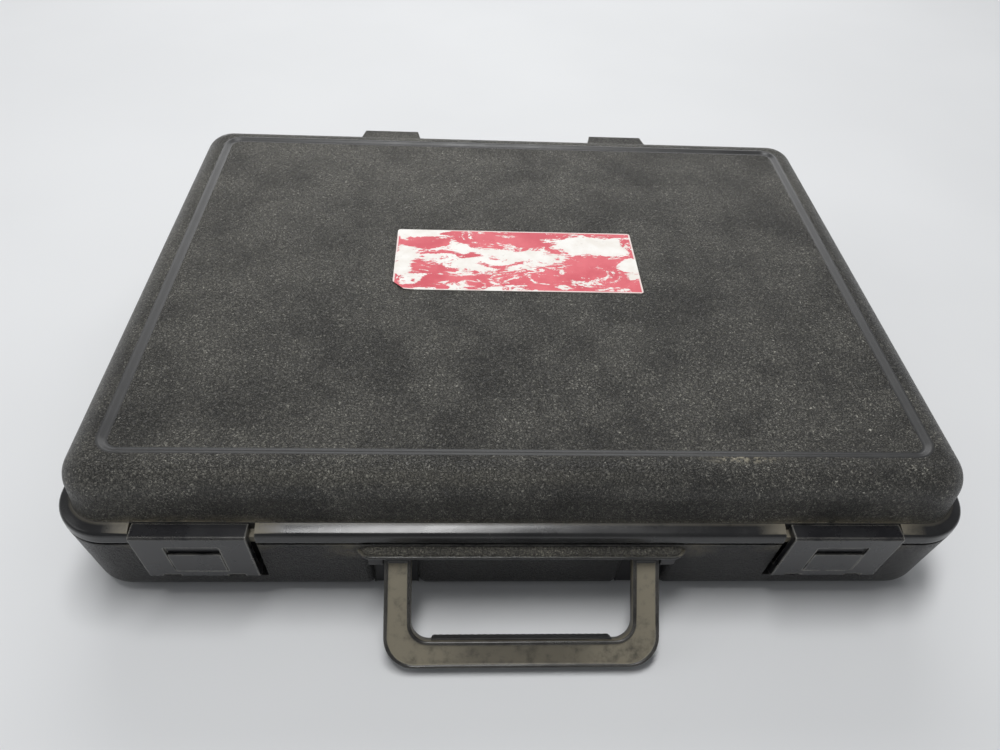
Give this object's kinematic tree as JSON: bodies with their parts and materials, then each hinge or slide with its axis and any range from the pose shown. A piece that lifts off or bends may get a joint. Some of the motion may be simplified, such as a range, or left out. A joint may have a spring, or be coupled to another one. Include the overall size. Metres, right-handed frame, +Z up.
{
  "type": "hard carrying case",
  "caption": "Shallow rectangular hard plastic carrying case with hinged lid, side-by-side locking latches, drooping carry handle and foam-lined pockets for a handheld instrument.",
  "frame": {"origin": "centre of the base's flat bottom, midway between the two shells' sides and between the rim's front and back", "axes": "+X to the right along the width, +Y from the handle side to the hinge side, +Z up through the lid"},
  "size_m": [0.456, 0.3967, 0.091],
  "materials": {
    "base_plastic": "leather-grained matt black plastic, worn",
    "lid_plastic": "leather-grained matt black plastic, worn, with a smooth satin rim",
    "latch_plastic": "smooth satin black plastic",
    "lock_plastic": "smooth satin black plastic",
    "handle_plastic": "smooth satin black plastic",
    "handle_pad": "matt black soft grip",
    "pin_steel": "plain steel",
    "base_foam_grey": "open-cell charcoal foam",
    "lid_foam_grey": "open-cell charcoal foam, convoluted",
    "label_paper": "worn white paper label with faded red print blocks"
  },
  "bodies": {
    "base": {"base_shell": "base_plastic", "base_foam_front": "base_foam_grey", "base_foam_back": "base_foam_grey", "base_foam_left": "base_foam_grey", "base_foam_right": "base_foam_grey", "base_foam_web": "base_foam_grey", "base_foam_cross": "base_foam_grey", "floor_pad": "base_foam_grey", "hinge_pin_left": "pin_steel", "hinge_pin_right": "pin_steel", "latch_pin_left": "pin_steel", "latch_pin_right": "pin_steel", "handle_pin_left": "pin_steel", "handle_pin_right": "pin_steel"},
    "lid": {"lid_shell": "lid_plastic", "lid_foam": "lid_foam_grey", "label": "label_paper"},
    "latch_left": {"latch_left": "latch_plastic"},
    "latch_right": {"latch_right": "latch_plastic"},
    "lock_left": {"lock_slide_left": "lock_plastic", "lock_keeper_left": "lock_plastic"},
    "lock_right": {"lock_slide_right": "lock_plastic", "lock_keeper_right": "lock_plastic"},
    "handle": {"handle": "handle_plastic", "handle_grip": "handle_pad"}
  },
  "joints": [
    {"name": "lid_hinge", "type": "hinge", "parent": "base", "child": "lid", "pos_m": [0, 0.1755, 0.051], "axis": [-1, 0, 0], "range_deg": [0, 108]},
    {"name": "latch_left_hinge", "type": "hinge", "parent": "base", "child": "latch_left", "pos_m": [-0.16, -0.16985, 0.0234], "axis": [1, 0, 0], "range_deg": [0, 100]},
    {"name": "latch_right_hinge", "type": "hinge", "parent": "base", "child": "latch_right", "pos_m": [0.16, -0.16985, 0.0234], "axis": [1, 0, 0], "range_deg": [0, 100]},
    {"name": "lock_left_slide", "type": "slide", "parent": "latch_left", "child": "lock_left", "axis": [0, -0.1219, 0.9925], "range_m": [0, 0.005]},
    {"name": "lock_right_slide", "type": "slide", "parent": "latch_right", "child": "lock_right", "axis": [0, -0.1219, 0.9925], "range_m": [0, 0.005]},
    {"name": "handle_hinge", "type": "hinge", "parent": "base", "child": "handle", "pos_m": [0, -0.1743, 0.04], "axis": [1, 0, 0], "range_deg": [-43, 40]}
  ]
}
